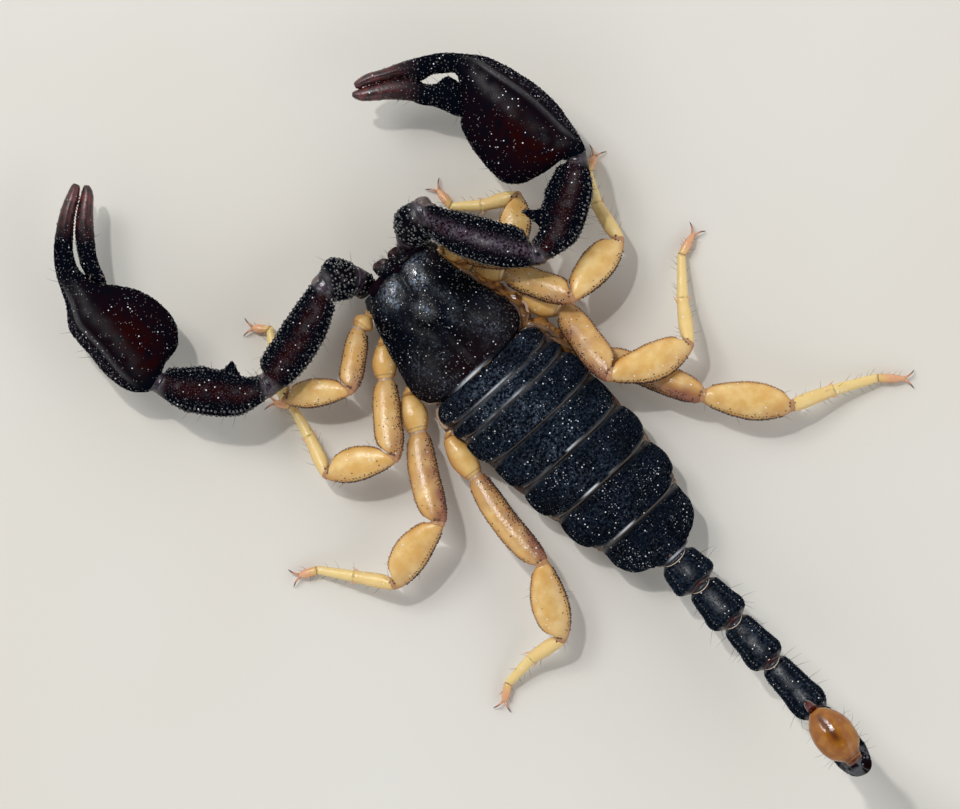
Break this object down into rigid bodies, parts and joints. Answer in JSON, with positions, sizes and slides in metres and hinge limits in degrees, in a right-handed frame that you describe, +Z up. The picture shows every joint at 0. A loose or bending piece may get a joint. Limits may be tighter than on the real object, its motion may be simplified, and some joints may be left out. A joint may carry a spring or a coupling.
{
  "type": "scorpion",
  "caption": "Small dark wood scorpion with amber legs, life size, standing with open pincers held forward and its stinger folded over a low tail; a nature display piece.",
  "frame": {"origin": "middle of the animal's box, on the floor under its feet", "axes": "+Z up, -Y the way the head faces, +X the animal's own left"},
  "size_m": [0.0304, 0.0484, 0.0091],
  "materials": {
    "shell": "glossy black cuticle with fine granules",
    "arm": "black to dark oxblood cuticle, granular along its edges",
    "belly": "smooth brown cuticle",
    "leg": "translucent amber cuticle, satin",
    "telson": "smooth glossy orange-brown cuticle",
    "sting": "dark polished tip",
    "eye": "black, wet gloss"
  },
  "bodies": {
    "root": {"carapace": "shell", "eye_left": "eye", "eye_right": "eye", "chelicera_left": "arm", "chelicera_right": "arm", "tergite_1": "shell", "tergite_2": "shell", "tergite_3": "shell", "tergite_4": "shell", "tergite_5": "shell", "tergite_6": "shell", "tergite_7": "shell", "sternite_3": "belly", "sternite_4": "belly", "sternite_5": "belly", "sternite_6": "belly", "sternite_7": "belly", "coxae": "belly", "pectines": "belly", "arm_left_trochanter": "arm", "arm_left_femur": "arm", "arm_left_patella": "arm", "arm_left_hand": "arm", "arm_left_finger": "arm", "arm_right_trochanter": "arm", "arm_right_femur": "arm", "arm_right_patella": "arm", "arm_right_hand": "arm", "arm_right_finger": "arm", "leg_1_left_femur": "leg", "leg_1_left_patella": "leg", "leg_1_left_foot": "leg", "leg_2_left_femur": "leg", "leg_2_left_patella": "leg", "leg_2_left_foot": "leg", "leg_3_left_femur": "leg", "leg_3_left_patella": "leg", "leg_3_left_foot": "leg", "leg_4_left_femur": "leg", "leg_4_left_patella": "leg", "leg_4_left_foot": "leg", "leg_1_right_femur": "leg", "leg_1_right_patella": "leg", "leg_1_right_foot": "leg", "leg_2_right_femur": "leg", "leg_2_right_patella": "leg", "leg_2_right_foot": "leg", "leg_3_right_femur": "leg", "leg_3_right_patella": "leg", "leg_3_right_foot": "leg", "leg_4_right_femur": "leg", "leg_4_right_patella": "leg", "leg_4_right_foot": "leg", "metasoma_1": "shell", "metasoma_2": "shell", "metasoma_3": "shell", "metasoma_4": "shell", "metasoma_5": "shell", "vesicle": "telson", "aculeus": "sting"}
  },
  "joints": []
}
